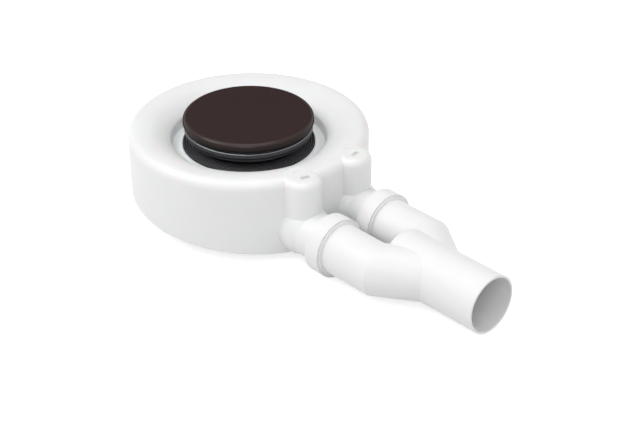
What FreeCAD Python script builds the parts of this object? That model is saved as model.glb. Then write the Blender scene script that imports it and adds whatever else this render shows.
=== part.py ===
"""Low shower trap: round housing with two outlet towers, a tray waste with a cover cap,
and a forked outlet pipe. Millimetres. The origin is where the housing's axis meets the underside
of its sloping base. +Z is up and +X runs along the outlet."""
import FreeCAD
import Part
import math
import os

# Clearances between neighbouring pieces
seat_clearance = 0.05
push_clearance = 0.15
slip_clearance = 0.3

# Housing, moulded in polypropylene
body_diameter = 211.0
body_draft = 0.6
body_height = 62.4
housing_wall = 2.6
shoulder_radius = 8.2
crest_width = 1.4
mouth_end_slope = 43.0
well_edge_radius = 4.0
well_wall_slope = 84.0
well_floor_width = 7.43
seat_height = 43.6
seat_lip_width = 1.3
seat_lip_height = 1.4
neck_wall = 3.0
neck_bottom_height = 18.0
ledge_width = 2.0
ledge_thickness = 2.6

# Outlet towers on the housing, and the spigots below them
branch_offset = 29.0
pipe_height = 12.0
tower_width = 32.0
tower_overhang = 10.8
tower_height = 62.5
tower_edge_radius = 6.5
pad_thickness = 4.4
spigot_diameter = 40.0
spigot_wall = 1.8
spigot_length = 49.5
knuckle_radius = 22.3
knuckle_forward = 1.2
knuckle_rise = 1.0
spigot_lead_in = 1.5
pocket_length = 8.0
pocket_width = 4.2
pocket_depth = 2.4
pocket_overhang = 1.5
dimple_diameter = 7.0
dimple_depth = 0.5
dimple_inside = 12.0

# Base plate, welded into the housing
base_slope = 4.6
base_thickness = 2.6
weir_height = 43.0
weir_wall = 2.0
weir_inside = 26.5
weir_gap = 1.5

# Tray clamp: two gaskets, a flange and a threaded neck
neck_diameter = 86.6
neck_tube_wall = 2.8
neck_tube_bottom = 22.0
neck_collar_width = 3.2
neck_collar_thickness = 1.5
thread_pitch = 4.0
thread_depth = 0.9
thread_turns = 5
thread_profile = (0.2, 0.4, 0.7, 0.9)
gasket_bore_clearance = 2.2
lower_gasket_width = 12.6
lower_gasket_thickness = 2.9
gasket_rib_height = 0.6
gasket_rib_count = 6
rib_top_start = 0.3
rib_top_end = 0.6
rib_foot_end = 0.9
tray_gap = 6.6
upper_gasket_width = 9.5
upper_gasket_thickness = 4.4
flange_width = 12.9
flange_edge_thickness = 3.9
flange_web_thickness = 1.5
flange_rim_width = 1.6
flange_dish_start = 4.2

# Dip tube with its sealing rings, and the hair strainer in it
dip_tube_clearance = 0.6
dip_tube_wall = 2.0
dip_tube_bottom = 13.5
dip_lip_thickness = 1.6
dip_ledge_height = 45.0
dip_ledge_width = 2.4
oring_section = 2.2
oring_heights = (33.0, 39.0)
strainer_depth = 12.0
strainer_wall = 1.2
strainer_hole_diameter = 6.0
strainer_hole_pitch = 9.8
strainer_hole_margin = 3.15
strainer_row_pitch = 9.0
strainer_row_count = 3

# Cover cap and the carrier under it
cap_overhang = 1.2
cap_thickness = 5.9
cap_gap = 3.8
cap_edge_radius = 4.4
cap_wall = 1.6
carrier_thickness = 1.8
carrier_rim_width = 4.0
carrier_spoke_width = 6.0
carrier_post_count = 6
carrier_foot_width = 3.6

# Forked outlet pipe with its two sockets
leg_wall = 1.8
leg_length = 31.9
fork_angle = 34.5
outlet_diameter = 50.0
outlet_body_diameter = 50.3
outlet_plug_length = 46.0
outlet_plug_taper = 1.0
outlet_wall = 1.8
outlet_before_bend = 2.9
outlet_length = 100.0
outlet_back_radius = 8.0
socket_depth = 23.6
socket_wall = 1.5
socket_bell_length = 13.5
socket_bell_wall = 1.7
socket_stop_gap = 2.0
seal_length = 9.6
seal_thickness = 2.4
seal_cap_length = 13.8
seal_cap_lip = 1.5
seal_cap_wall = 1.4

body_radius = body_diameter / 2
base_radius = body_radius - body_draft
neck_radius = neck_diameter / 2
crest_radius = body_radius - shoulder_radius
mouth_reach = crest_radius - crest_width
gasket_bore_radius = neck_radius + gasket_bore_clearance
lower_gasket_radius = gasket_bore_radius + lower_gasket_width
upper_gasket_radius = gasket_bore_radius + upper_gasket_width
flange_radius = neck_radius + flange_width
flange_dish_radius = neck_radius + flange_dish_start
cap_radius = flange_radius + cap_overhang
seat_lip_radius = lower_gasket_radius + slip_clearance
well_foot_radius = seat_lip_radius + seat_lip_width + well_floor_width
housing_bore_radius = neck_radius + slip_clearance
neck_shell_radius = housing_bore_radius + neck_wall
insert_low = seat_height - housing_wall
ledge_top = insert_low - seat_clearance
base_cavity_radius = base_radius - housing_wall
below_base = -2 * base_radius * math.tan(math.radians(base_slope))
lower_gasket_top = seat_height + seat_clearance + lower_gasket_thickness + gasket_rib_height
tray_top = lower_gasket_top + tray_gap
flange_bottom = tray_top + upper_gasket_thickness + seat_clearance
flange_top = flange_bottom + flange_edge_thickness
flange_web_top = flange_bottom + flange_web_thickness
flange_bore_radius = neck_radius + push_clearance
collar_bottom = flange_web_top + seat_clearance
collar_top = collar_bottom + neck_collar_thickness
collar_radius = neck_radius + neck_collar_width
neck_tube_bore_radius = neck_radius - neck_tube_wall
ledge_bore_radius = neck_tube_bore_radius - dip_ledge_width
dip_tube_radius = ledge_bore_radius - dip_tube_clearance
cap_bottom = flange_top + cap_gap
cap_top = cap_bottom + cap_thickness
outlet_radius = outlet_diameter / 2
outlet_body_radius = outlet_body_diameter / 2
spigot_radius = spigot_diameter / 2
tower_half_width = tower_width / 2
tower_centre = body_radius + tower_overhang - tower_half_width
pocket_reach = body_radius + pocket_overhang
dimple_reach = body_radius - dimple_inside
weir_front = body_radius - weir_inside
knuckle_centre = tower_centre + knuckle_forward
spigot_end = body_radius + spigot_length
socket_mouth = spigot_end - socket_depth
socket_bell_end = socket_mouth + socket_bell_length
seal_cap_start = socket_mouth - seal_cap_lip
seal_cap_end = seal_cap_start + seal_cap_length
leg_bend_reach = spigot_end + leg_length
outlet_start = leg_bend_reach - outlet_before_bend
outlet_end = outlet_start + outlet_length
socket_bore_radius = spigot_radius + slip_clearance
leg_radius = socket_bore_radius + socket_wall
bell_bore_radius = spigot_radius + seal_thickness + 2 * push_clearance
bell_radius = bell_bore_radius + socket_bell_wall
fork_reach = leg_bend_reach + branch_offset / math.tan(math.radians(fork_angle))
sides = {"near": -1, "far": 1}

up = FreeCAD.Vector(0, 0, 1)
along_outlet = FreeCAD.Vector(1, 0, 0)
origin = FreeCAD.Vector(0, 0, 0)
base_normal = FreeCAD.Vector(math.sin(math.radians(base_slope)), 0, math.cos(math.radians(base_slope)))


def polar(centre, radius, degrees):
    """Point of a profile, as (radius, height), on a circle about centre."""
    angle = math.radians(degrees)
    return (centre[0] + radius * math.cos(angle), centre[1] + radius * math.sin(angle))


def turned(start, steps, foot=origin, axis=up):
    """Solid of revolution. A step is the next corner, or a mid point and an end point of an arc.
    Corners are (radius, place along the axis)."""
    outward = along_outlet if axis == up else up

    def place(corner):
        return foot + outward * corner[0] + axis * corner[1]

    edges = []
    last = start
    for step in list(steps) + [start]:
        if isinstance(step[0], tuple):
            edges.append(Part.Arc(place(last), place(step[0]), place(step[1])).toShape())
            last = step[1]
        elif step != last:
            edges.append(Part.LineSegment(place(last), place(step)).toShape())
            last = step
    face = Part.Face(Part.Wire(edges))
    return face.revolve(foot, axis, 360)


def tube(inner, outer, low, high):
    """Plain ring about the housing's axis."""
    return turned((inner, low), [(outer, low), (outer, high), (inner, high)])


def join(shapes):
    """One solid from touching shapes."""
    first = shapes[0]
    return first.multiFuse(shapes[1:]).removeSplitter()


def branch_centre(side):
    """Point on the axis of one spigot, level with the housing's axis."""
    return FreeCAD.Vector(0, side * branch_offset, pipe_height)


def half_space(point, normal):
    """Large block that lies on the side of a plane that the normal points to."""
    size = 2 * outlet_end
    block = Part.makeBox(size, size, size, FreeCAD.Vector(-size / 2, -size / 2, 0))
    block.Placement = FreeCAD.Placement(point, FreeCAD.Rotation(up, normal))
    return block


def shoulder_arc(inset):
    """Mid and end point of the round shoulder, moved inwards by inset."""
    centre = (crest_radius, body_height - shoulder_radius)
    return (polar(centre, shoulder_radius - inset, 45), (crest_radius, body_height - inset))


def funnel_radius():
    """Radius of the round funnel that ends, past the tighter turn and the wall, at the well's foot."""
    lean = 1 / math.tan(math.radians(well_wall_slope))
    across = math.sin(math.radians(mouth_end_slope))
    down = math.cos(math.radians(mouth_end_slope))
    turn_across = well_edge_radius * (math.sin(math.radians(well_wall_slope)) - across)
    turn_down = well_edge_radius * (down - math.cos(math.radians(well_wall_slope)))
    depth = body_height - seat_height
    reach = mouth_reach - well_foot_radius - turn_across - lean * (depth - turn_down)
    return reach / (across - lean * (1 - down))


def mouth_arc(inset):
    """Mid and end point of the round funnel below the crest, moved inwards by inset."""
    centre = (mouth_reach, body_height - funnel_radius())
    radius = funnel_radius() - inset
    return (polar(centre, radius, 90 + mouth_end_slope / 2), polar(centre, radius, 90 + mouth_end_slope))


def well_edge_arc(inset):
    """Mid and end point of the tighter turn from the funnel to the well's wall."""
    mouth_centre = (mouth_reach, body_height - funnel_radius())
    centre = polar(mouth_centre, funnel_radius() - well_edge_radius, 90 + mouth_end_slope)
    radius = well_edge_radius - inset
    middle = (mouth_end_slope + well_wall_slope) / 2
    return (polar(centre, radius, 90 + middle), polar(centre, radius, 90 + well_wall_slope))


def well_reach(height, inset=0):
    """Radius of the well's steep wall at one height."""
    wall_top = well_edge_arc(inset)[1]
    return wall_top[0] - (wall_top[1] - height) / math.tan(math.radians(well_wall_slope))


def body_outer():
    """Outside of the round housing: wall, shoulder, crest, funnel and well, on a sloping base."""
    ledge_reach = well_reach(ledge_top) - ledge_width
    body = turned((ledge_reach, below_base), [
        (base_radius, below_base),
        (body_radius, body_height - shoulder_radius),
        shoulder_arc(0),
        (mouth_reach, body_height),
        mouth_arc(0),
        well_edge_arc(0),
        (well_reach(ledge_top), ledge_top),
        (ledge_reach, ledge_top),
    ])
    return body.common(half_space(origin, base_normal))


def body_cavity():
    """Water chamber inside the housing: the outside moved in by the wall, up to the insert's ledge."""
    top = ledge_top - ledge_thickness
    return turned((0, below_base), [
        (base_cavity_radius, below_base),
        (body_radius - housing_wall, body_height - shoulder_radius),
        shoulder_arc(housing_wall),
        (mouth_reach, body_height - housing_wall),
        mouth_arc(housing_wall),
        well_edge_arc(housing_wall),
        (well_reach(top, housing_wall), top),
        (0, top),
    ])


def tower_block(side, half_width, start, low, high):
    """Upright block with a round nose, on one branch's line."""
    centre = FreeCAD.Vector(tower_centre, side * branch_offset, low)
    nose = Part.makeCylinder(half_width, high - low, centre, up)
    corner = FreeCAD.Vector(start, side * branch_offset - half_width, low)
    back = Part.makeBox(tower_centre - start, 2 * half_width, high - low, corner)
    return join([nose, back])


def tower(side):
    """Outside of one tower, its top edge rounded round the nose."""
    block = tower_block(side, tower_half_width, crest_radius - housing_wall, pipe_height, tower_height)
    rim = []
    for edge in block.Edges:
        box = edge.BoundBox
        is_top = box.ZMin > tower_height - seat_clearance
        is_back = box.XMax < crest_radius
        if is_top and not is_back:
            rim.append(edge)
    return block.makeFillet(tower_edge_radius, rim)


def knuckle(side, radius, low):
    """Ball where a tower turns into its spigot, flat below at one height."""
    centre = branch_centre(side) + along_outlet * knuckle_centre + up * knuckle_rise
    ball = Part.makeSphere(radius, centre)
    return ball.common(half_space(up * low, up))


def spigot(side):
    """Outside of one spigot: the knuckle at its root, and a chamfered end that enters the socket."""
    end_radius = spigot_radius - spigot_lead_in / 2
    root = knuckle(side, knuckle_radius, pipe_height - spigot_radius)
    pipe = turned((0, crest_radius), [
        (spigot_radius, crest_radius),
        (spigot_radius, spigot_end - spigot_lead_in),
        (end_radius, spigot_end),
        (0, spigot_end),
    ], branch_centre(side), along_outlet)
    return join([root, pipe])


def pad_pocket(side):
    """Shallow recess in the flat pad on top of a tower, square to the housing's axis."""
    corner = FreeCAD.Vector(pocket_reach - pocket_width / 2, -pocket_length / 2, tower_height - pocket_depth)
    pocket = Part.makeBox(pocket_width, pocket_length, 2 * pocket_depth, corner)
    angle = math.degrees(math.asin(branch_offset / pocket_reach))
    pocket.rotate(origin, up, side * angle)
    return pocket


def pad_dimple(side):
    """Faint round dimple behind the pocket."""
    foot = FreeCAD.Vector(dimple_reach, side * branch_offset, body_height - dimple_depth)
    return Part.makeCylinder(dimple_diameter / 2, 2 * dimple_depth, foot, up)


def trap_housing():
    """The white shell, open below: ring, funnel and well, towers and spigots."""
    outside = [body_outer()]
    inside = [body_cavity()]
    for side in sides.values():
        outside.append(tower(side))
        outside.append(spigot(side))
        inside.append(tower_block(side, tower_half_width - housing_wall, weir_front + weir_wall,
                                  pipe_height, tower_height - pad_thickness))
        inside.append(knuckle(side, knuckle_radius - housing_wall,
                              pipe_height - spigot_radius + spigot_wall))
        inside.append(Part.makeCylinder(spigot_radius - spigot_wall, spigot_end,
                                        branch_centre(side) + along_outlet * (weir_front + weir_wall),
                                        along_outlet))
        inside.append(pad_pocket(side))
        inside.append(pad_dimple(side))
    shell = join(outside)
    for hollow in inside:
        shell = shell.cut(hollow)
    return shell.removeSplitter()


def neck_insert():
    """White insert welded on the well's ledge: the well's floor, a lip round the gasket, and the neck."""
    lip_outer = seat_lip_radius + seat_lip_width
    lip_top = seat_height + seat_lip_height
    return turned((housing_bore_radius, neck_bottom_height), [
        (neck_shell_radius, neck_bottom_height),
        (neck_shell_radius, insert_low),
        (well_reach(insert_low) - seat_clearance, insert_low),
        (well_reach(seat_height) - seat_clearance, seat_height),
        (lip_outer, seat_height),
        (lip_outer, lip_top),
        (seat_lip_radius, lip_top),
        (seat_lip_radius, seat_height),
        (housing_bore_radius, seat_height),
    ])


def weir(side):
    """U-shaped wall on the base plate that holds the water back from one tower."""
    half = spigot_radius + weir_gap + weir_wall
    height = weir_height - below_base
    corner = FreeCAD.Vector(weir_front, side * branch_offset - half, below_base)
    outer = Part.makeBox(base_radius, 2 * half, height, corner)
    inner = Part.makeBox(base_radius, 2 * (half - weir_wall), height,
                         corner + FreeCAD.Vector(weir_wall, weir_wall, 0))
    return outer.cut(inner)


def base_plate():
    """Round sloping floor with the two weirs, which seals the housing from below."""
    radius = base_cavity_radius - push_clearance
    limit = Part.makeCylinder(radius, weir_height - below_base, up * below_base, up)
    limit = limit.common(half_space(origin, base_normal))
    floor = limit.cut(half_space(base_normal * base_thickness, base_normal))
    return join([floor] + [weir(side).common(limit) for side in sides.values()])


def lower_gasket():
    """Rubber ring on the housing's seat, with fine round ribs on top."""
    inner = gasket_bore_radius
    outer = lower_gasket_radius
    low = seat_height + seat_clearance
    flat = low + lower_gasket_thickness
    pitch = (outer - inner) / gasket_rib_count
    corners = [(outer, low), (outer, flat)]
    for rib in range(gasket_rib_count):
        edge = outer - rib * pitch
        corners.append((edge - rib_top_start * pitch, flat + gasket_rib_height))
        corners.append((edge - rib_top_end * pitch, flat + gasket_rib_height))
        corners.append((edge - rib_foot_end * pitch, flat))
    corners.append((inner, flat))
    return turned((inner, low), corners)


def upper_gasket():
    """Rubber ring between the tray and the flange."""
    outer = upper_gasket_radius
    lip = upper_gasket_thickness / 3
    return turned((gasket_bore_radius, tray_top), [
        (outer - lip, tray_top),
        (outer, tray_top + lip),
        (outer, tray_top + upper_gasket_thickness),
        (gasket_bore_radius, tray_top + upper_gasket_thickness),
    ])


def waste_flange():
    """Bright dished flange that clamps the tray, with a rounded rim."""
    outer = flange_radius
    round_radius = flange_rim_width / 2
    rim_centre = (outer - round_radius, flange_top - round_radius)
    return turned((flange_bore_radius, flange_bottom), [
        (outer, flange_bottom),
        (outer, flange_top - round_radius),
        (polar(rim_centre, round_radius, 90), (outer - flange_rim_width, flange_top - round_radius)),
        (flange_dish_radius, flange_web_top),
        (flange_bore_radius, flange_web_top),
    ])


def threaded_neck():
    """Black clamp screw: collar above the flange, thread in the housing's neck, ledge inside."""
    outside = neck_radius
    root = neck_radius - thread_depth
    corners = [(root, neck_tube_bottom)]
    for turn in range(thread_turns):
        foot = neck_tube_bottom + turn * thread_pitch
        for share, radius in zip(thread_profile, (root, outside, outside, root)):
            corners.append((radius, foot + share * thread_pitch))
    thread_end = neck_tube_bottom + thread_turns * thread_pitch
    corners += [
        (root, thread_end),
        (outside, thread_end + thread_depth),
        (outside, collar_bottom),
        (collar_radius, collar_bottom),
        (collar_radius, collar_top),
        (neck_tube_bore_radius, collar_top),
        (neck_tube_bore_radius, dip_ledge_height),
        (ledge_bore_radius, dip_ledge_height),
    ]
    return turned((ledge_bore_radius, neck_tube_bottom), corners)


def oring_centre_radius():
    """Centre of a sealing ring that touches the neck's bore from inside."""
    return ledge_bore_radius - seat_clearance - oring_section / 2


def dip_tube():
    """Lift-out tube that dips into the water, with a lip on the neck's ledge."""
    lip_low = dip_ledge_height + seat_clearance
    lip_high = lip_low + dip_lip_thickness
    inner = dip_tube_radius - dip_tube_wall
    lip_radius = neck_tube_bore_radius - slip_clearance
    body = turned((inner, dip_tube_bottom), [
        (dip_tube_radius, dip_tube_bottom),
        (dip_tube_radius, lip_low),
        (lip_radius, lip_low),
        (lip_radius, lip_high),
        (inner, lip_high),
    ])
    for height in oring_heights:
        body = body.cut(Part.makeTorus(oring_centre_radius(), oring_section / 2 + seat_clearance,
                                       FreeCAD.Vector(0, 0, height), up))
    return body


def dip_tube_ring(height):
    """Rubber sealing ring in a groove of the dip tube."""
    return Part.makeTorus(oring_centre_radius(), oring_section / 2, FreeCAD.Vector(0, 0, height), up)


def hair_strainer():
    """Shallow basket with a pierced floor, hung on the dip tube's lip."""
    rim_low = dip_ledge_height + 2 * seat_clearance + dip_lip_thickness
    rim_high = rim_low + strainer_wall
    outer = dip_tube_radius - dip_tube_wall - push_clearance
    floor = rim_low - strainer_depth
    basket = turned((0, floor), [
        (outer, floor),
        (outer, rim_low),
        (neck_tube_bore_radius - slip_clearance, rim_low),
        (neck_tube_bore_radius - slip_clearance, rim_high),
        (outer - strainer_wall, rim_high),
        (outer - strainer_wall, floor + strainer_wall),
        (0, floor + strainer_wall),
    ])
    holes = []
    outer_row = outer - strainer_wall - strainer_hole_margin - strainer_hole_diameter / 2
    for row in range(strainer_row_count):
        row_radius = outer_row - row * strainer_row_pitch
        count = round(2 * math.pi * row_radius / strainer_hole_pitch)
        for index in range(count):
            angle = 2 * math.pi * index / count
            centre = FreeCAD.Vector(row_radius * math.cos(angle), row_radius * math.sin(angle),
                                    floor - strainer_wall)
            holes.append(Part.makeCylinder(strainer_hole_diameter / 2, 3 * strainer_wall, centre, up))
    return basket.cut(Part.makeCompound(holes))


def cap_carrier():
    """Black spider under the cap: rim, spokes and hub, on posts that stand on the neck's collar."""
    top = cap_top - cap_wall - seat_clearance
    low = top - carrier_thickness
    rim_radius = cap_radius - cap_wall - push_clearance - cap_edge_radius / 2
    foot_low = collar_top + seat_clearance
    foot_centre = neck_tube_bore_radius + carrier_foot_width / 2
    hub_radius = 2 * carrier_spoke_width
    pieces = [
        tube(rim_radius - carrier_rim_width, rim_radius, low, top),
        Part.makeCylinder(hub_radius, carrier_thickness, FreeCAD.Vector(0, 0, low)),
        tube(foot_centre - carrier_foot_width / 2, foot_centre + carrier_foot_width / 2,
             foot_low, foot_low + carrier_thickness / 2),
    ]
    for index in range(carrier_post_count):
        spoke = Part.makeBox(rim_radius - carrier_rim_width / 2, carrier_spoke_width, carrier_thickness,
                             FreeCAD.Vector(0, -carrier_spoke_width / 2, low))
        post = Part.makeBox(carrier_foot_width, carrier_spoke_width, low - foot_low + carrier_thickness / 2,
                            FreeCAD.Vector(foot_centre - carrier_foot_width / 2,
                                           -carrier_spoke_width / 2, foot_low))
        for piece in (spoke, post):
            piece.rotate(origin, up, 360 * index / carrier_post_count)
            pieces.append(piece)
    return join(pieces)


def cover_cap():
    """Brown cover: a shallow pressed disc with a rounded edge, hollow below."""
    outer = cap_radius
    edge_centre = (outer - cap_edge_radius, cap_top - cap_edge_radius)
    inner_edge_radius = cap_edge_radius - cap_wall
    return turned((0, cap_top - cap_wall), [
        (outer - cap_edge_radius, cap_top - cap_wall),
        (polar(edge_centre, inner_edge_radius, 45), (outer - cap_wall, edge_centre[1])),
        (outer - cap_wall, cap_bottom),
        (outer, cap_bottom),
        (outer, edge_centre[1]),
        (polar(edge_centre, cap_edge_radius, 45), (edge_centre[0], cap_top)),
        (0, cap_top),
    ])


def branch_pipe(side, radius, start):
    """Straight leg and slanting arm of one branch, mitred where they meet."""
    centre = branch_centre(side)
    bend = centre + along_outlet * leg_bend_reach
    angle = math.radians(fork_angle)
    slant = FreeCAD.Vector(math.cos(angle), -side * math.sin(angle), 0)
    mitre = (along_outlet + slant).normalize()
    leg_start = centre + along_outlet * start
    leg = Part.makeCylinder(radius, leg_bend_reach - start + radius, leg_start, along_outlet)
    leg = leg.cut(half_space(bend, mitre))
    arm_length = (fork_reach - leg_bend_reach) / math.cos(angle)
    arm = Part.makeCylinder(radius, arm_length + radius, bend - slant * radius, slant)
    arm = arm.cut(half_space(bend, mitre * -1))
    return join([leg, arm])


def socket_bell(side):
    """Outside of one socket, which widens at its mouth to hold the lip seal."""
    return turned((0, socket_mouth), [
        (bell_radius, socket_mouth),
        (bell_radius, socket_bell_end - push_clearance),
        (bell_radius - push_clearance, socket_bell_end),
        (0, socket_bell_end),
    ], branch_centre(side), along_outlet)


def socket_bore(side):
    """Inside of one socket: seal chamber at the mouth, then the bore for the spigot."""
    seal_end = socket_mouth + seal_length + push_clearance
    stop = spigot_end + socket_stop_gap
    return turned((0, socket_mouth - seal_length), [
        (bell_bore_radius, socket_mouth - seal_length),
        (bell_bore_radius, seal_end),
        (socket_bore_radius, seal_end),
        (socket_bore_radius, stop),
        (0, stop),
    ], branch_centre(side), along_outlet)


def y_connector():
    """White forked pipe: two sockets, two legs with slanting arms, and the outlet pipe."""
    back = outlet_start + outlet_back_radius
    back_centre = (outlet_body_radius - outlet_back_radius, back)
    plug_start = outlet_end - outlet_plug_length
    centre = FreeCAD.Vector(0, 0, pipe_height)
    outside = [turned((0, outlet_start), [
        (outlet_body_radius - outlet_back_radius, outlet_start),
        (polar(back_centre, outlet_back_radius, -45), (outlet_body_radius, back)),
        (outlet_body_radius, plug_start - outlet_plug_taper),
        (outlet_radius, plug_start),
        (outlet_radius, outlet_end),
        (0, outlet_end),
    ], centre, along_outlet)]
    inside = [Part.makeCylinder(outlet_radius - outlet_wall, outlet_end, centre
                                + along_outlet * (outlet_start + outlet_wall), along_outlet)]
    for side in sides.values():
        outside.append(branch_pipe(side, leg_radius, socket_bell_end - socket_bell_wall))
        outside.append(socket_bell(side))
        inside.append(branch_pipe(side, leg_radius - leg_wall, spigot_end))
        inside.append(socket_bore(side))
    pipe = join(outside)
    for hollow in inside:
        pipe = pipe.cut(hollow)
    return pipe.removeSplitter()


def seal_cap(side):
    """Ring snapped over a socket's mouth, which keeps the lip seal in."""
    lip_radius = spigot_radius + slip_clearance
    bore = bell_radius + push_clearance
    lip_end = socket_mouth - push_clearance
    outer = bore + seal_cap_wall
    return turned((lip_radius, seal_cap_start), [
        (outer, seal_cap_start),
        (outer, seal_cap_end),
        (bore, seal_cap_end),
        (bore, lip_end),
        (lip_radius, lip_end),
    ], branch_centre(side), along_outlet)


def socket_seal(side):
    """Lip seal between a spigot and its socket."""
    inner = spigot_radius + push_clearance
    outer = inner + seal_thickness
    start = socket_mouth
    end = start + seal_length
    lip = seal_length / 3
    return turned((inner, start + lip), [
        (outer - seal_thickness / 2, start),
        (outer, start),
        (outer, end),
        (outer - seal_thickness / 2, end),
        (inner, end - lip),
    ], branch_centre(side), along_outlet)


def main():
    """Writes one file for each piece."""
    pieces = {
        "trap_housing": trap_housing(),
        "neck_insert": neck_insert(),
        "base_plate": base_plate(),
        "lower_gasket": lower_gasket(),
        "upper_gasket": upper_gasket(),
        "waste_flange": waste_flange(),
        "threaded_neck": threaded_neck(),
        "dip_tube": dip_tube(),
        "hair_strainer": hair_strainer(),
        "cap_carrier": cap_carrier(),
        "cover_cap": cover_cap(),
        "y_connector": y_connector(),
    }
    for index, height in enumerate(oring_heights):
        pieces[f"dip_tube_ring_{index + 1}"] = dip_tube_ring(height)
    for name, side in sides.items():
        pieces[f"{name}_seal_cap"] = seal_cap(side)
        pieces[f"{name}_socket_seal"] = socket_seal(side)
    os.makedirs("parts", exist_ok=True)
    for name, shape in pieces.items():
        print(name, "solids", len(shape.Solids), "valid", shape.isValid(), "volume", round(shape.Volume))
        shape.exportStep(f"parts/{name}.step")


main()
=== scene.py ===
"""Looks of the low shower trap: one section for each piece or group of like pieces, in the order in
which the trap is put together, then the studio and the camera. +Z is up and +X along the outlet. Places
and depths are in metres, and the sizes of patterns, which per_metre takes, are in millimetres."""
import math

import bpy
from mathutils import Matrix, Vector


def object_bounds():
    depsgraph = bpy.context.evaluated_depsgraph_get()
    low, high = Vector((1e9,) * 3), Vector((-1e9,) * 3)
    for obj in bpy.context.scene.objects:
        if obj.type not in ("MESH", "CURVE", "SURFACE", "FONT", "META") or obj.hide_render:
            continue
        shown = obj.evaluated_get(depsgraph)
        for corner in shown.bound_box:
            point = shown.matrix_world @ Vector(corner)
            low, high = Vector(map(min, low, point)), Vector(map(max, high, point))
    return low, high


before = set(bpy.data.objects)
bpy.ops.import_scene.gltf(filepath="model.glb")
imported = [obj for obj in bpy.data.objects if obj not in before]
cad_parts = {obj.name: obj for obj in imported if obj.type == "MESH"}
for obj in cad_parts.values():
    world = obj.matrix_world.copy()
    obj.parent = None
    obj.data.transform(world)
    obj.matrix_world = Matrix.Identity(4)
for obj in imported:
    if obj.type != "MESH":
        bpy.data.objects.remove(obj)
cad_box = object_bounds()

# Housing, neck insert, base plate and dip tube: white polypropylene, moulded in a spark-eroded tool, so it
# is an even, faintly translucent satin white. The grain is drawn at 0.8 mm, coarser than the real one, to
# show. Round the funnel's foot the white is painted brighter, as painted light in that shaded hollow.
housing_white = "#E9E9E9"
housing_shade = "#E3E3E3"
housing_drift = 45.0
painted_light_white = "#F6F6F6"
painted_light_inset = 0.00308
painted_light_fade = 0.016
housing_grain = 0.8
grain_strength = 0.12
grain_depth = 0.00004
housing_gloss = (0.36, 0.46)
housing_ior = 1.49
housing_glow = 0.2
housing_glow_reach = 0.004
# A Mix node has its two numbers on sockets 2 and 3, and its two colours on 6 and 7, mixed on output 2.
number_a, number_b = 2, 3
colour_a, colour_b, mixed_colour = 6, 7, 2


def linear(code):
    """Linear colour of an sRGB hex value."""
    channels = []
    for start in (1, 3, 5):
        value = int(code[start:start + 2], 16) / 255
        channels.append(value / 12.92 if value <= 0.04045 else ((value + 0.055) / 1.055) ** 2.4)
    return (*channels, 1.0)


def add(tree, kind, sockets=None, **settings):
    """One node with its settings. A socket's entry is a value, or another node's output to link."""
    node = tree.nodes.new("ShaderNode" + kind)
    for name, value in settings.items():
        setattr(node, name, value)
    for name, value in (sockets or {}).items():
        if isinstance(value, bpy.types.NodeSocket):
            tree.links.new(value, node.inputs[name])
        else:
            node.inputs[name].default_value = value
    return node


def new_material(name):
    """Empty node material and its node tree."""
    made = bpy.data.materials.new(name)
    made.use_nodes = True
    made.node_tree.nodes.clear()
    return made, made.node_tree


def per_metre(millimetres):
    """Scale of a pattern whose features have this size."""
    return 1000 / millimetres


def measured(name):
    """Lowest point, highest point and radius about the upright axis of a round piece of the part."""
    points = [vertex.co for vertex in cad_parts[name].data.vertices]
    heights = [point.z for point in points]
    reaches = [math.hypot(point.x, point.y) for point in points]
    return {"low": min(heights), "top": max(heights), "radius": max(reaches)}


def from_axis(tree, apart):
    """Distance from the trap's upright axis, worked out from the separate coordinates."""
    flat = add(tree, "CombineXYZ", {"X": apart.outputs["X"], "Y": apart.outputs["Y"]})
    return add(tree, "VectorMath", {0: flat.outputs[0]}, operation="LENGTH").outputs["Value"]


def ends(low, high, side="To"):
    """Socket entries for the two ends of a range."""
    return {side + " Min": low, side + " Max": high}


def dress(material, *names):
    """Give these nodes of the part the material in place of their own."""
    for name in names:
        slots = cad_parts[name].data.materials
        slots.clear()
        slots.append(material)


housing_material, tree = new_material("polypropylene_spark_eroded")
place = add(tree, "TexCoord").outputs["Object"]
apart = add(tree, "SeparateXYZ", {"Vector": place})
drift = add(tree, "TexNoise", {"Vector": place, "Scale": per_metre(housing_drift), "Detail": 2.0})
grain = add(tree, "TexNoise", {"Vector": place, "Scale": per_metre(housing_grain), "Detail": 3.0})
white = add(tree, "Mix", {"Factor": drift.outputs["Fac"], colour_a: linear(housing_shade),
                          colour_b: linear(housing_white)}, data_type="RGBA")
# Painted light: the white is brighter inside the neck insert's reach, round the funnel's foot.
painted_light_reach = measured("neck_insert")["radius"] - painted_light_inset
core = add(tree, "MapRange", {"Value": from_axis(tree, apart),
                              **ends(painted_light_reach + painted_light_fade, painted_light_reach, "From")})
tint = add(tree, "Mix", {"Factor": core.outputs["Result"], colour_a: white.outputs[mixed_colour],
                         colour_b: linear(painted_light_white)}, data_type="RGBA")
gloss = add(tree, "MapRange", {"Value": drift.outputs["Fac"], **ends(*housing_gloss)})
relief = add(tree, "Bump", {"Height": grain.outputs["Fac"], "Strength": grain_strength,
                            "Distance": grain_depth})
skin = add(tree, "BsdfPrincipled", {
    "Base Color": tint.outputs[mixed_colour], "Roughness": gloss.outputs["Result"], "IOR": housing_ior,
    "Normal": relief.outputs["Normal"], "Subsurface Weight": housing_glow,
    "Subsurface Scale": housing_glow_reach})
add(tree, "OutputMaterial", {0: skin.outputs[0]})
dress(housing_material, "trap_housing", "neck_insert", "base_plate", "dip_tube")

# Dip tube rings and socket seals: black nitrile rubber, pressed in polished moulds. Rubber is dull and
# slightly dusty, and finely pebbled. The pebble is drawn at 0.5 mm, coarser than the real one, to show.
rubber_black = "#1B1B1D"
rubber_dust = "#343436"
dust_size = 9.0
dust_from = (0.45, 0.8)
dust_cover = (0.0, 0.5)
rubber_pebble = 0.5
pebble_strength = 0.25
pebble_depth = 0.00006
rubber_roughness = 0.62
rubber_ior = 1.52

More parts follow.
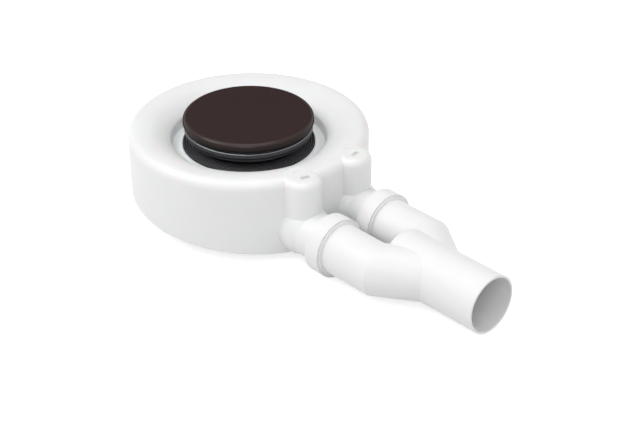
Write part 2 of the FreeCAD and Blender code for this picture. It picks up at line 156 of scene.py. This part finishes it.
rubber_material, tree = new_material("nitrile_rubber_moulded")
place = add(tree, "TexCoord").outputs["Object"]
dust = add(tree, "TexNoise", {"Vector": place, "Scale": per_metre(dust_size), "Detail": 4.0})
pebble = add(tree, "TexNoise", {"Vector": place, "Scale": per_metre(rubber_pebble), "Detail": 2.0})
faint = add(tree, "MapRange", {"Value": dust.outputs["Fac"], **ends(*dust_from, "From"), **ends(*dust_cover)})
tint = add(tree, "Mix", {"Factor": faint.outputs["Result"], colour_a: linear(rubber_black),
                         colour_b: linear(rubber_dust)}, data_type="RGBA")
relief = add(tree, "Bump", {"Height": pebble.outputs["Fac"], "Strength": pebble_strength,
                            "Distance": pebble_depth})
skin = add(tree, "BsdfPrincipled", {
    "Base Color": tint.outputs[mixed_colour], "Roughness": rubber_roughness, "IOR": rubber_ior,
    "Normal": relief.outputs["Normal"]})
add(tree, "OutputMaterial", {0: skin.outputs[0]})
dress(rubber_material, "dip_tube_ring_1", "dip_tube_ring_2", "near_socket_seal", "far_socket_seal")

# Lower gasket: the same rubber, with six fine moulded ribs 2.1 mm apart on its top, and lines as fine
# round its edge. The crests are painted grey, as painted highlight, and the grooves between them are
# painted near black, as painted shade.
rib_pitch = 0.0021
rib_crest = 0.45
line_pitch = 0.0012
edge_depth = 0.0001
groove_painted_shade = "#030304"
crest_painted_highlight = "#505054"
crest_highlight_from = (0.0, 0.6)
ribbed_roughness = 0.55
gasket_pebble_strength = 0.2
gasket_pebble_depth = 0.00005
gasket_shine = 0.2

gasket = measured("lower_gasket")
ribbed_material, tree = new_material("nitrile_rubber_ribbed")
place = add(tree, "TexCoord").outputs["Object"]
apart = add(tree, "SeparateXYZ", {"Vector": place})
inwards = add(tree, "Math", {0: gasket["radius"], 1: from_axis(tree, apart)}, operation="SUBTRACT")
turns = add(tree, "Math", {0: inwards.outputs[0], 1: rib_pitch}, operation="DIVIDE")
phase = add(tree, "Math", {0: turns.outputs[0], 1: rib_crest}, operation="SUBTRACT")
angle = add(tree, "Math", {0: phase.outputs[0], 1: 2 * math.pi}, operation="MULTIPLY")
rib_wave = add(tree, "Math", {0: angle.outputs[0]}, operation="COSINE")
upwards = add(tree, "Math", {0: apart.outputs["Z"], 1: gasket["low"]}, operation="SUBTRACT")
lines = add(tree, "Math", {0: upwards.outputs[0], 1: line_pitch / (2 * math.pi)}, operation="DIVIDE")
line_wave = add(tree, "Math", {0: lines.outputs[0]}, operation="SINE")
on_edge = add(tree, "Math", {0: inwards.outputs[0], 1: edge_depth}, operation="LESS_THAN")
wave = add(tree, "Mix", {"Factor": on_edge.outputs[0], number_a: rib_wave.outputs[0],
                         number_b: line_wave.outputs[0]})
pebble = add(tree, "TexNoise", {"Vector": place, "Scale": per_metre(rubber_pebble), "Detail": 2.0})
# Painted highlight on the crests and painted shade in the grooves, following the ribs and the edge lines.
crest_highlight = add(tree, "MapRange", {"Value": wave.outputs[0], **ends(*crest_highlight_from, "From")})
tint = add(tree, "Mix", {"Factor": crest_highlight.outputs["Result"], colour_a: linear(groove_painted_shade),
                         colour_b: linear(crest_painted_highlight)}, data_type="RGBA")
relief = add(tree, "Bump", {"Height": pebble.outputs["Fac"], "Strength": gasket_pebble_strength,
                            "Distance": gasket_pebble_depth})
skin = add(tree, "BsdfPrincipled", {
    "Base Color": tint.outputs[mixed_colour], "Roughness": ribbed_roughness,
    "Normal": relief.outputs["Normal"], "Specular IOR Level": gasket_shine})
add(tree, "OutputMaterial", {0: skin.outputs[0]})
dress(ribbed_material, "lower_gasket")

# Upper gasket: a smooth ring of the same rubber between the tray and the flange. The lower half of its
# edge is painted grey, as painted light, and the half above it, drawn in under the flange, is painted
# near black, as the painted shadow of the flange.
shadow_line_height = 0.00245
shadow_line_blend = 0.0004
painted_light_grey = "#303032"
painted_flange_shadow = "#050506"
upper_gasket_roughness = 0.6

shadow_line = measured("upper_gasket")["low"] + shadow_line_height
upper_gasket_material, tree = new_material("nitrile_rubber_painted_shadow")
place = add(tree, "TexCoord").outputs["Object"]
apart = add(tree, "SeparateXYZ", {"Vector": place})
pebble = add(tree, "TexNoise", {"Vector": place, "Scale": per_metre(rubber_pebble), "Detail": 2.0})
# Painted light on the lower half of the edge, and the painted shadow of the flange above it.
under_flange_shadow = add(tree, "MapRange", {"Value": apart.outputs["Z"],
                               **ends(shadow_line - shadow_line_blend, shadow_line + shadow_line_blend, "From")})
tint = add(tree, "Mix", {"Factor": under_flange_shadow.outputs["Result"], colour_a: linear(painted_light_grey),
                         colour_b: linear(painted_flange_shadow)}, data_type="RGBA")
relief = add(tree, "Bump", {"Height": pebble.outputs["Fac"], "Strength": gasket_pebble_strength,
                            "Distance": gasket_pebble_depth})
skin = add(tree, "BsdfPrincipled", {
    "Base Color": tint.outputs[mixed_colour], "Roughness": upper_gasket_roughness,
    "Normal": relief.outputs["Normal"], "Specular IOR Level": gasket_shine})
add(tree, "OutputMaterial", {0: skin.outputs[0]})
dress(upper_gasket_material, "upper_gasket")

# Threaded neck, strainer and cap carrier: black ABS injection mouldings, smooth from the tool.
# ABS is darker and glossier than the rubber, with faint drifts of gloss.
abs_black = "#17171A"
abs_drift = 14.0
abs_gloss = (0.28, 0.42)
abs_ripple = 0.05
abs_ripple_depth = 0.0001
abs_ior = 1.53

abs_material, tree = new_material("abs_black_moulded")
place = add(tree, "TexCoord").outputs["Object"]
drift = add(tree, "TexNoise", {"Vector": place, "Scale": per_metre(abs_drift), "Detail": 3.0})
gloss = add(tree, "MapRange", {"Value": drift.outputs["Fac"], **ends(*abs_gloss)})
relief = add(tree, "Bump", {"Height": drift.outputs["Fac"], "Strength": abs_ripple,
                            "Distance": abs_ripple_depth})
skin = add(tree, "BsdfPrincipled", {
    "Base Color": linear(abs_black), "Roughness": gloss.outputs["Result"], "IOR": abs_ior,
    "Normal": relief.outputs["Normal"]})
add(tree, "OutputMaterial", {0: skin.outputs[0]})
dress(abs_material, "threaded_neck", "hair_strainer", "cap_carrier")

# Flange: a dished ring of satin-polished stainless steel. The lower part of its edge is painted dark grey
# and not metal, as painted shade, and the dish, in shade under the cover, is painted a lighter steel than
# the rim, as painted light. Polishing leaves faint rings round the axis, drawn 0.6 mm apart on the
# steel, coarser than the real ones, to show.
rim_tone = "#8C8E90"
dish_painted_light = "#A2A4A6"
side_painted_shade = "#2C2D30"
rim_width = 0.0016
edge_width = 0.0007
steel_depth = 0.0006
steel_ring = 0.6
ring_strength = 0.08
ring_depth = 0.00003
rim_gloss = (0.34, 0.42)
dish_gloss = (0.55, 0.75)

flange = measured("waste_flange")
steel_material, tree = new_material("stainless_steel_polished")
place = add(tree, "TexCoord").outputs["Object"]
apart = add(tree, "SeparateXYZ", {"Vector": place})
reach = from_axis(tree, apart)
rings = add(tree, "TexNoise", {"W": reach, "Scale": per_metre(steel_ring), "Detail": 2.0},
            noise_dimensions="1D")
polished = add(tree, "MapRange", {"Value": rings.outputs["Fac"], **ends(*rim_gloss)})
brushed = add(tree, "MapRange", {"Value": rings.outputs["Fac"], **ends(*dish_gloss)})
# The dish takes the lighter steel tone, as painted light.
in_dish = add(tree, "Math", {0: reach, 1: flange["radius"] - rim_width}, operation="LESS_THAN")
gloss = add(tree, "Mix", {"Factor": in_dish.outputs[0], number_a: polished.outputs["Result"],
                          number_b: brushed.outputs["Result"]})
steel_tint = add(tree, "Mix", {"Factor": in_dish.outputs[0], colour_a: linear(rim_tone),
                               colour_b: linear(dish_painted_light)}, data_type="RGBA")
# The edge below the rim is painted dark grey and not metal, as painted shade.
is_inner = add(tree, "Math", {0: reach, 1: flange["radius"] - edge_width}, operation="LESS_THAN")
is_high = add(tree, "Math", {0: apart.outputs["Z"], 1: flange["top"] - steel_depth}, operation="GREATER_THAN")
is_steel = add(tree, "Math", {0: is_inner.outputs[0], 1: is_high.outputs[0]}, operation="MAXIMUM")
tint = add(tree, "Mix", {"Factor": is_steel.outputs[0], colour_a: linear(side_painted_shade),
                         colour_b: steel_tint.outputs[mixed_colour]}, data_type="RGBA")
relief = add(tree, "Bump", {"Height": rings.outputs["Fac"], "Strength": ring_strength,
                            "Distance": ring_depth})
skin = add(tree, "BsdfPrincipled", {
    "Base Color": tint.outputs[mixed_colour], "Metallic": is_steel.outputs[0],
    "Roughness": gloss.outputs[0], "Normal": relief.outputs["Normal"]})
add(tree, "OutputMaterial", {0: skin.outputs[0]})
dress(steel_material, "waste_flange")

# Cover: pressed steel disc in dark brown stove enamel. The flow of the enamel leaves a very slight orange
# peel of about 3 mm, which dulls it where it is seen edge on, and fine pigment speckle, drawn at 1.1 mm,
# coarser than the real one, to show. The skirt is painted darker, as painted shade.
enamel_brown = "#372C2B"
enamel_speck = "#413635"
skirt_painted_shade = "#241B19"
face_depth = 0.0014
skirt_depth = 0.0032
speck_size = 1.1
speck_from = (0.5, 0.8)
speck_cover = (0.0, 0.35)
peel_size = 3.0
peel_strength = 0.05
peel_depth = 0.0001
edge_on = (0.55, 0.8)
enamel_gloss = (0.17, 1.0)
enamel_shine = 0.15

cover_top = measured("cover_cap")["top"]
enamel_material, tree = new_material("stove_enamel_brown")
place = add(tree, "TexCoord").outputs["Object"]
apart = add(tree, "SeparateXYZ", {"Vector": place})
speck = add(tree, "TexNoise", {"Vector": place, "Scale": per_metre(speck_size), "Detail": 2.0})
peel = add(tree, "TexNoise", {"Vector": place, "Scale": per_metre(peel_size), "Detail": 1.0})
spots = add(tree, "MapRange", {"Value": speck.outputs["Fac"], **ends(*speck_from, "From"),
                               **ends(*speck_cover)})
flat_tint = add(tree, "Mix", {"Factor": spots.outputs["Result"], colour_a: linear(enamel_brown),
                              colour_b: linear(enamel_speck)}, data_type="RGBA")
# Painted shade: the skirt below the face is a darker brown.
above = add(tree, "MapRange", {"Value": apart.outputs["Z"],
                               **ends(cover_top - skirt_depth, cover_top - face_depth, "From")})
tint = add(tree, "Mix", {"Factor": above.outputs["Result"], colour_a: linear(skirt_painted_shade),
                         colour_b: flat_tint.outputs[mixed_colour]}, data_type="RGBA")
turned_away = add(tree, "LayerWeight")
gloss = add(tree, "MapRange", {"Value": turned_away.outputs["Facing"], **ends(*edge_on, "From"),
                               **ends(*enamel_gloss)})
relief = add(tree, "Bump", {"Height": peel.outputs["Fac"], "Strength": peel_strength, "Distance": peel_depth})
skin = add(tree, "BsdfPrincipled", {
    "Base Color": tint.outputs[mixed_colour], "Roughness": gloss.outputs["Result"],
    "Normal": relief.outputs["Normal"], "Specular IOR Level": enamel_shine})
add(tree, "OutputMaterial", {0: skin.outputs[0]})
dress(enamel_material, "cover_cap")

# Forked outlet pipe and the rings over its sockets: white polypropylene, moulded in a polished tool.
# It is as white as the housing but smooth, with long faint flow marks about 11 mm apart.
pipe_white = "#E9E9E9"
pipe_shade = "#E4E4E4"
flow_size = 11.0
flow_stretch = (0.15, 1.0, 1.0)
flow_strength = 0.06
flow_depth = 0.0001
pipe_gloss = (0.36, 0.46)
pipe_shine = 0.25
pipe_glow = 0.08
pipe_glow_reach = 0.002

pipe_material, tree = new_material("polypropylene_polished")
place = add(tree, "TexCoord").outputs["Object"]
along = add(tree, "Mapping", {"Vector": place, "Scale": flow_stretch})
flow = add(tree, "TexNoise", {"Vector": along.outputs[0], "Scale": per_metre(flow_size), "Detail": 3.0})
tint = add(tree, "Mix", {"Factor": flow.outputs["Fac"], colour_a: linear(pipe_shade),
                         colour_b: linear(pipe_white)}, data_type="RGBA")
gloss = add(tree, "MapRange", {"Value": flow.outputs["Fac"], **ends(*pipe_gloss)})
relief = add(tree, "Bump", {"Height": flow.outputs["Fac"], "Strength": flow_strength, "Distance": flow_depth})
skin = add(tree, "BsdfPrincipled", {
    "Base Color": tint.outputs[mixed_colour], "Roughness": gloss.outputs["Result"],
    "Normal": relief.outputs["Normal"], "Specular IOR Level": pipe_shine,
    "Subsurface Weight": pipe_glow, "Subsurface Scale": pipe_glow_reach})
add(tree, "OutputMaterial", {0: skin.outputs[0]})
dress(pipe_material, "y_connector", "near_seal_cap", "far_seal_cap")

# Studio: a white floor just under the trap's lowest point, as wide as the room. It is plain matt white
# paint, seen as pure white where no shadow falls.
floor_drop = 0.0005
floor_side = 6.0
floor_paint = "#D2D2D2"
floor_glow = 0.66
pure_white = "#FFFFFF"


def seen_share(tree, rays):
    """Share that is 1 for what is seen straight, mirrored or through glass, and 0 for what only lights."""
    mirrored = add(tree, "Math", {0: rays.outputs["Is Camera Ray"], 1: rays.outputs["Is Glossy Ray"]},
                   operation="MAXIMUM")
    through = add(tree, "Math", {0: mirrored.outputs[0], 1: rays.outputs["Is Transmission Ray"]},
                  operation="MAXIMUM")
    return through.outputs[0]


bpy.ops.mesh.primitive_plane_add(size=floor_side, location=(0, 0, cad_box[0][2] - floor_drop))
floor = bpy.context.object
floor.name = "studio_floor"
floor_material, tree = new_material("matt_white_paint")
rays = add(tree, "LightPath")
paint = add(tree, "BsdfDiffuse", {"Color": linear(floor_paint)})
glow = add(tree, "Emission", {"Color": linear(pure_white), "Strength": floor_glow})
lit = add(tree, "AddShader", {0: paint.outputs[0], 1: glow.outputs[0]})
shown = add(tree, "MixShader", {0: seen_share(tree, rays), 1: paint.outputs[0], 2: lit.outputs[0]})
add(tree, "OutputMaterial", {0: shown.outputs[0]})
floor.data.materials.append(floor_material)

# Studio light: a white tent, a large soft lamp left of the camera, a weaker one right of it and a wide one
# overhead. The tent is seen as pure white. Shiny things also see that it is open at the back, which keeps
# the cover's enamel deep and dark, and that a soft box hangs over the front. Angles are in degrees.
tent_level = 0.81
opening = {"turn": 136.4, "height": 31.3, "edge": 48, "core": 22, "level": 1.0}
soft_box = {"turn": -84, "height": 70, "edge": 41, "core": 38, "level": 1.3}
lamps = (("key_lamp", (-0.87, -1.19, 1.7), 1.2, 12.2),
         ("front_lamp", (1.25, -1.3, 1.3), 1.0, 5.4),
         ("overhead_lamp", (0.1, 0.05, 1.9), 1.4, 5.2))
lamp_aim = Vector((0.08, 0, 0.03))


def towards(turn, height):
    """Unit vector to this turn about +Z and this height over the floor, in degrees."""
    turn, height = math.radians(turn), math.radians(height)
    return Vector((math.cos(height) * math.cos(turn), math.cos(height) * math.sin(turn), math.sin(height)))


def patch_level(tree, direction, rays, patch):
    """Level of a round patch of the tent, full in its core and none past its edge, for glossy rays alone."""
    centre = towards(patch["turn"], patch["height"])
    nearness = add(tree, "VectorMath", {0: direction, 1: centre}, operation="DOT_PRODUCT")
    edge, core = (math.cos(math.radians(patch[end])) for end in ("edge", "core"))
    inside = add(tree, "MapRange", {"Value": nearness.outputs["Value"], **ends(edge, core, "From"),
                                    **ends(0.0, patch["level"])})
    return add(tree, "Math", {0: inside.outputs["Result"], 1: rays.outputs["Is Glossy Ray"]},
               operation="MULTIPLY").outputs[0]


world = bpy.data.worlds.new("light_tent")
bpy.context.scene.world = world
world.use_nodes = True
tree = world.node_tree
tree.nodes.clear()
rays = add(tree, "LightPath")
direction = add(tree, "TexCoord").outputs["Generated"]
open_tent = add(tree, "Math", {0: 1.0, 1: patch_level(tree, direction, rays, opening)}, operation="SUBTRACT")
level = add(tree, "Math", {0: open_tent.outputs[0], 1: patch_level(tree, direction, rays, soft_box)})
tent = add(tree, "Background", {"Color": linear(pure_white), "Strength": tent_level})
bright = add(tree, "Background", {"Color": linear(pure_white), "Strength": level.outputs[0]})
shown = add(tree, "MixShader", {0: seen_share(tree, rays), 1: tent.outputs[0], 2: bright.outputs[0]})
add(tree, "OutputWorld", {0: shown.outputs[0]})

for name, stand, width, power in lamps:
    lamp = bpy.data.lights.new(name, "AREA")
    lamp.shape = "DISK"
    lamp.size = width
    lamp.energy = power
    holder = bpy.data.objects.new(name, lamp)
    holder.location = stand
    holder.rotation_euler = (lamp_aim - Vector(stand)).to_track_quat("-Z", "Y").to_euler()
    bpy.context.scene.collection.objects.link(holder)

# Camera: where the outlines of the housing, cover and pipes in the photograph put it.
# The lens is given for a film width of 36 mm, over a picture 640 pixels wide.
camera_place = (0.92618, -0.79705, 0.71328)
camera_turn = -43.64
camera_height = 31.34
focal_pixels = 1581.2
picture_pixels = 640
film_width = 36.0
nearest_seen = 0.01
camera = bpy.data.objects.new("camera", bpy.data.cameras.new("camera"))
camera.data.sensor_width = film_width
camera.data.lens = focal_pixels * film_width / picture_pixels
camera.data.clip_start = nearest_seen
camera.location = camera_place
camera.rotation_euler = (-towards(camera_turn, camera_height)).to_track_quat("-Z", "Y").to_euler()
bpy.context.scene.collection.objects.link(camera)
bpy.context.scene.camera = camera
bpy.context.scene.view_settings.view_transform = "Standard"
